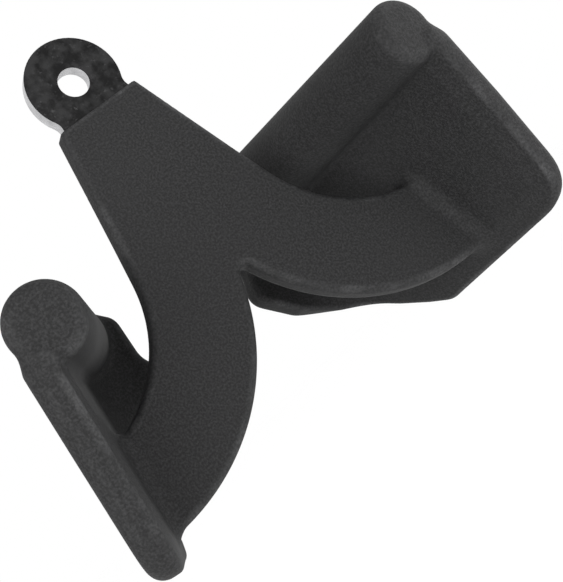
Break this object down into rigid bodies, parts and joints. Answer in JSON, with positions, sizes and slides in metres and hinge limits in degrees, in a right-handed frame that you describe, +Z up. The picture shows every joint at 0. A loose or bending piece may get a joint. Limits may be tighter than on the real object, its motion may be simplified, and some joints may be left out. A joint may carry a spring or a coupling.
{
  "type": "cable machine grip handle",
  "caption": "Rubber-skinned steel double grip with a cable eye, two leaning palm plates with finger bars and curled thumb flanges, for a cable machine.",
  "frame": {"origin": "centre of the cable eye, half-way through the steel plate", "axes": "+Z up through the eye along the pull, X across the two grips, +Y away from the heels of the hands towards the thumb flanges"},
  "size_m": [0.2336, 0.1653, 0.1951],
  "materials": {
    "skin": "matt charcoal moulded rubber with a fine pebble grain",
    "eye_steel": "glossy mottled black oxide on the faces, brighter cut edge",
    "inner_steel": "plain mild steel, sealed under the skin",
    "weld_steel": "as-laid weld bead, sealed under the skin"
  },
  "bodies": {
    "root": {"core_plate": "eye_steel", "arm_skin": "skin", "right_palm_plate": "inner_steel", "right_finger_bar": "inner_steel", "right_end_disc": "inner_steel", "right_arm_weld": "weld_steel", "right_bar_weld": "weld_steel", "right_grip_skin": "skin", "left_palm_plate": "inner_steel", "left_finger_bar": "inner_steel", "left_end_disc": "inner_steel", "left_arm_weld": "weld_steel", "left_bar_weld": "weld_steel", "left_grip_skin": "skin"}
  },
  "joints": []
}
